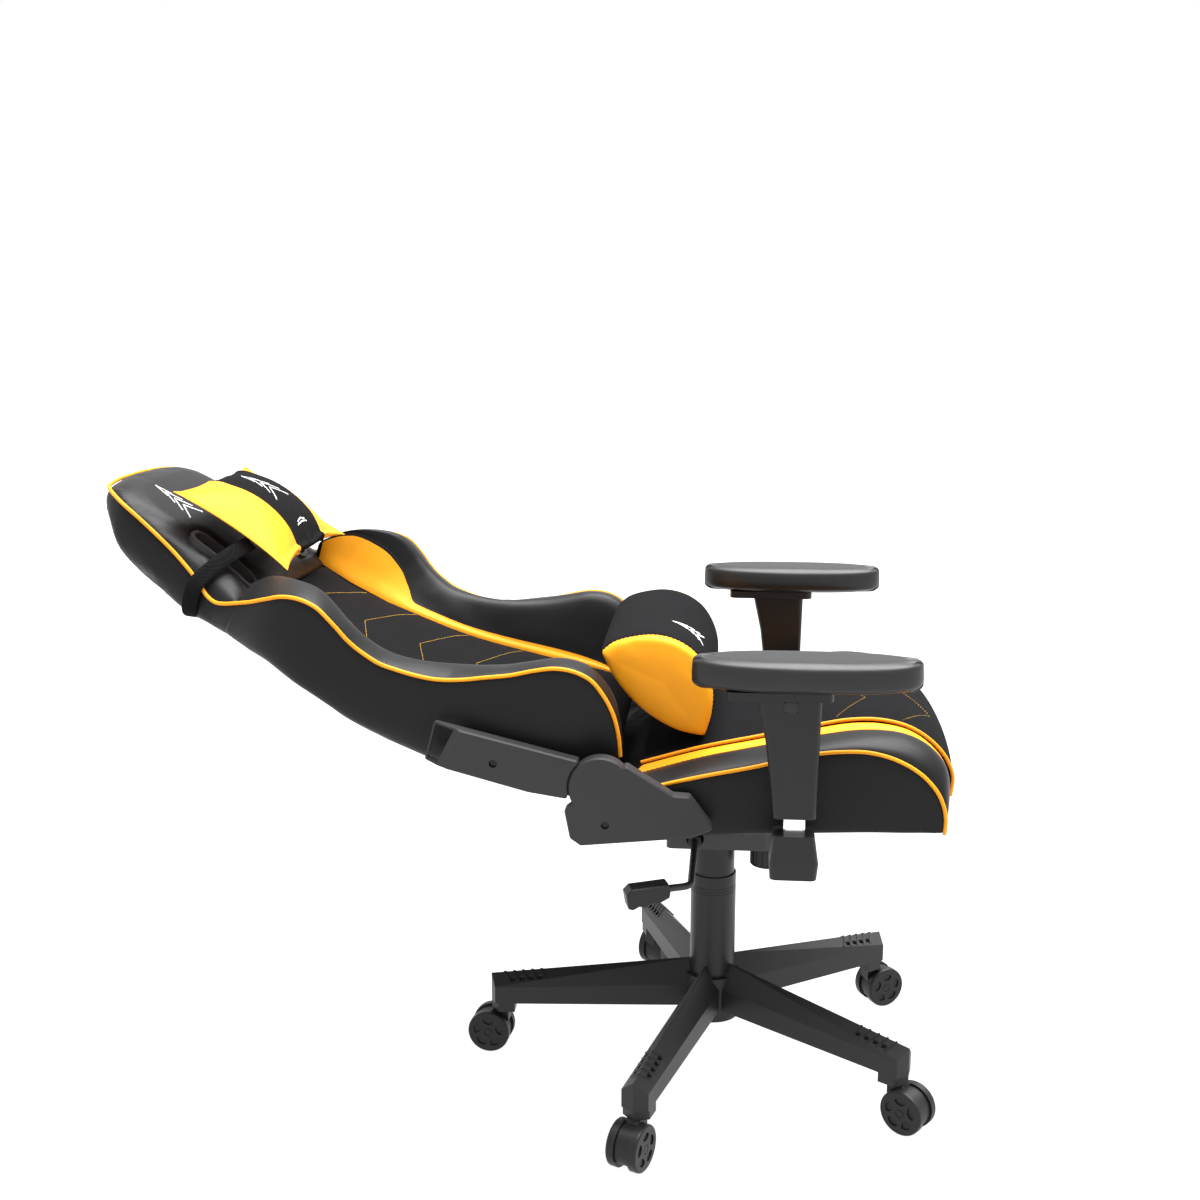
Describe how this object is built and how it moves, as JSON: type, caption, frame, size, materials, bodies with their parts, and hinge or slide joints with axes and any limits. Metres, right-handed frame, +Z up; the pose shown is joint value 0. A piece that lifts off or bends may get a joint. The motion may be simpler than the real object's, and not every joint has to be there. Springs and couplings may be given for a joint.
{
  "type": "gaming chair",
  "caption": "Reclining swivel chair with a winged high back, head and lumbar pillows, height-adjustable armrests, gas lift, rocking mechanism and a castor star base.",
  "frame": {"origin": "on the floor, under the swivel axis of the seat", "axes": "+X to the chair's front, +Y to its left, +Z up; the back is stored laid down on its rearmost stop"},
  "size_m": [1.1158, 0.6878, 0.826],
  "materials": {
    "base_plastic": "matte",
    "castor_plastic": "satin",
    "column_plastic": "satin",
    "cover_plastic": "matte",
    "arm_plastic": "matte",
    "pad_foam": "matte",
    "black_steel": "satin",
    "polished_steel": "polished",
    "plated_steel": "satin",
    "nylon_bush": "satin",
    "plywood": "matte",
    "centre_fabric": "matte",
    "black_leather": "satin",
    "yellow_leather": "satin",
    "piping_cord": "satin",
    "pillow_fabric": "matte",
    "elastic_webbing": "matte",
    "sewing_thread": "satin",
    "emblem_thread": "satin"
  },
  "bodies": {
    "base": {"star_base": "base_plastic", "column_cover_lower": "column_plastic", "gas_outer_tube": "black_steel", "guide_bush": "nylon_bush", "thrust_bearing": "plated_steel"},
    "piston": {"piston_rod": "polished_steel"},
    "mechanism": {"gas_column": "polished_steel", "column_cover_upper": "column_plastic", "mechanism_housing": "black_steel", "tilt_pin": "plated_steel", "tension_spring": "plated_steel"},
    "tension_control": {"tension_knob": "arm_plastic", "tension_bolt": "plated_steel"},
    "lever_cam": {"lever_cam": "arm_plastic"},
    "lever": {"lever_rod": "black_steel", "lever_paddle": "arm_plastic"},
    "seat": {"seat_plate": "black_steel", "seat_rails": "black_steel", "seat_board": "plywood", "seat_screws": "plated_steel", "seat_cushion": "centre_fabric", "seat_bolsters": "black_leather", "recline_covers_lower": "cover_plastic", "recline_plates_lower": "black_steel", "pivot_bushes": "plated_steel", "pivot_bolt": "plated_steel", "armrest_posts": "polished_steel", "armrest_brackets": "black_steel", "armrest_boots": "arm_plastic"},
    "recline_release": {"recline_handle": "arm_plastic", "recline_shaft": "plated_steel"},
    "backrest": {"back_frame": "black_steel", "back_cushion": "centre_fabric", "back_wings": "black_leather", "back_head": "black_leather", "belt_slot_liners": "cover_plastic", "head_pillow": "pillow_fabric", "head_strap": "elastic_webbing", "recline_covers_upper": "cover_plastic", "recline_plates_upper": "black_steel", "back_cover_screws": "plated_steel"},
    "lumbar": {"lumbar_pillow": "pillow_fabric"},
    "armrest_left": {"armrest_sleeve_left": "arm_plastic", "armrest_plate_left": "arm_plastic", "armrest_pad_left": "pad_foam"},
    "armrest_button_left": {"armrest_button_left": "cover_plastic"},
    "armrest_right": {"armrest_sleeve_right": "arm_plastic", "armrest_plate_right": "arm_plastic", "armrest_pad_right": "pad_foam"},
    "armrest_button_right": {"armrest_button_right": "cover_plastic"},
    "castor_1": {"castor_1_fork": "castor_plastic"},
    "castor_1_rollers": {"castor_1_wheels": "castor_plastic"},
    "castor_2": {"castor_2_fork": "castor_plastic"},
    "castor_2_rollers": {"castor_2_wheels": "castor_plastic"},
    "castor_3": {"castor_3_fork": "castor_plastic"},
    "castor_3_rollers": {"castor_3_wheels": "castor_plastic"},
    "castor_4": {"castor_4_fork": "castor_plastic"},
    "castor_4_rollers": {"castor_4_wheels": "castor_plastic"},
    "castor_5": {"castor_5_fork": "castor_plastic"},
    "castor_5_rollers": {"castor_5_wheels": "castor_plastic"}
  },
  "joints": [
    {"name": "seat_swivel", "type": "hinge", "parent": "base", "child": "piston", "pos_m": [0, 0, 0.1], "axis": [0, 0, 1], "continuous": true},
    {"name": "seat_lift", "type": "slide", "parent": "piston", "child": "mechanism", "axis": [0, 0, 1], "range_m": [-0.05, 0.03]},
    {"name": "tension_turn", "type": "hinge", "parent": "mechanism", "child": "tension_control", "pos_m": [0.075, 0, 0.3], "axis": [0, 0, 1], "range_deg": [-360, 720]},
    {"name": "lever_lift", "type": "hinge", "parent": "mechanism", "child": "lever_cam", "pos_m": [-0.025, -0.0565, 0.344], "axis": [-1, 0, 0], "range_deg": [0, 7], "stiffness_Nm_per_rad": 4, "springref_deg": -8.59},
    {"name": "lever_pull", "type": "slide", "parent": "lever_cam", "child": "lever", "axis": [0, -1, 0], "range_m": [0, 0.012]},
    {"name": "seat_rock", "type": "hinge", "parent": "mechanism", "child": "seat", "pos_m": [0.038, 0, 0.36], "axis": [0, -1, 0], "range_deg": [0, 12], "stiffness_Nm_per_rad": 260, "springref_deg": -20.05},
    {"name": "back_recline", "type": "hinge", "parent": "seat", "child": "backrest", "pos_m": [-0.134, 0, 0.484], "axis": [0, 1, 0], "range_deg": [0, 62.5]},
    {"name": "lumbar_slide", "type": "slide", "parent": "backrest", "child": "lumbar", "axis": [-0.887, 0, 0.4617], "range_m": [0, 0.125]},
    {"name": "recline_handle_pull", "type": "hinge", "parent": "seat", "child": "recline_release", "pos_m": [-0.134, 0.28, 0.484], "axis": [0, -1, 0], "range_deg": [0, 20], "stiffness_Nm_per_rad": 1.5, "springref_deg": -8.59},
    {"name": "armrest_height_left", "type": "slide", "parent": "seat", "child": "armrest_left", "axis": [0, 0, 1], "range_m": [0, 0.07]},
    {"name": "armrest_button_left_press", "type": "slide", "parent": "armrest_left", "child": "armrest_button_left", "axis": [0, -1, 0], "range_m": [0, 0.003], "stiffness_N_per_m": 500, "springref_m": -0.002},
    {"name": "armrest_height_right", "type": "slide", "parent": "seat", "child": "armrest_right", "axis": [0, 0, 1], "range_m": [0, 0.07]},
    {"name": "armrest_button_right_press", "type": "slide", "parent": "armrest_right", "child": "armrest_button_right", "axis": [0, 1, 0], "range_m": [0, 0.003], "stiffness_N_per_m": 500, "springref_m": -0.002},
    {"name": "castor_1_swivel", "type": "hinge", "parent": "base", "child": "castor_1", "pos_m": [-0.29993, -0.00628, 0.07], "axis": [0, 0, 1], "continuous": true},
    {"name": "castor_1_roll", "type": "hinge", "parent": "castor_1", "child": "castor_1_rollers", "pos_m": [-0.31585, -0.00461, 0.03], "axis": [-0.1045, -0.9945, 0], "continuous": true},
    {"name": "castor_2_swivel", "type": "hinge", "parent": "base", "child": "castor_2", "pos_m": [-0.08671, -0.2872, 0.07], "axis": [0, 0, 1], "continuous": true},
    {"name": "castor_2_roll", "type": "hinge", "parent": "castor_2", "child": "castor_2_rollers", "pos_m": [-0.09322, -0.30181, 0.03], "axis": [0.9135, -0.4067, 0], "continuous": true},
    {"name": "castor_3_swivel", "type": "hinge", "parent": "base", "child": "castor_3", "pos_m": [0.24634, -0.17121, 0.07], "axis": [0, 0, 1], "continuous": true},
    {"name": "castor_3_roll", "type": "hinge", "parent": "castor_3", "child": "castor_3_rollers", "pos_m": [0.25929, -0.18062, 0.03], "axis": [0.5878, 0.809, 0], "continuous": true},
    {"name": "castor_4_swivel", "type": "hinge", "parent": "base", "child": "castor_4", "pos_m": [0.23896, 0.18138, 0.07], "axis": [0, 0, 1], "continuous": true},
    {"name": "castor_4_roll", "type": "hinge", "parent": "castor_4", "child": "castor_4_rollers", "pos_m": [0.25282, 0.18938, 0.03], "axis": [-0.5, 0.866, 0], "continuous": true},
    {"name": "castor_5_swivel", "type": "hinge", "parent": "base", "child": "castor_5", "pos_m": [-0.09866, 0.28331, 0.07], "axis": [0, 0, 1], "continuous": true},
    {"name": "castor_5_roll", "type": "hinge", "parent": "castor_5", "child": "castor_5_rollers", "pos_m": [-0.09066, 0.29717, 0.03], "axis": [-0.866, 0.5, 0], "continuous": true}
  ],
  "couplings": [
    {"joint": "lumbar_slide", "follows": "back_recline", "m_per_rad": 0.11}
  ]
}
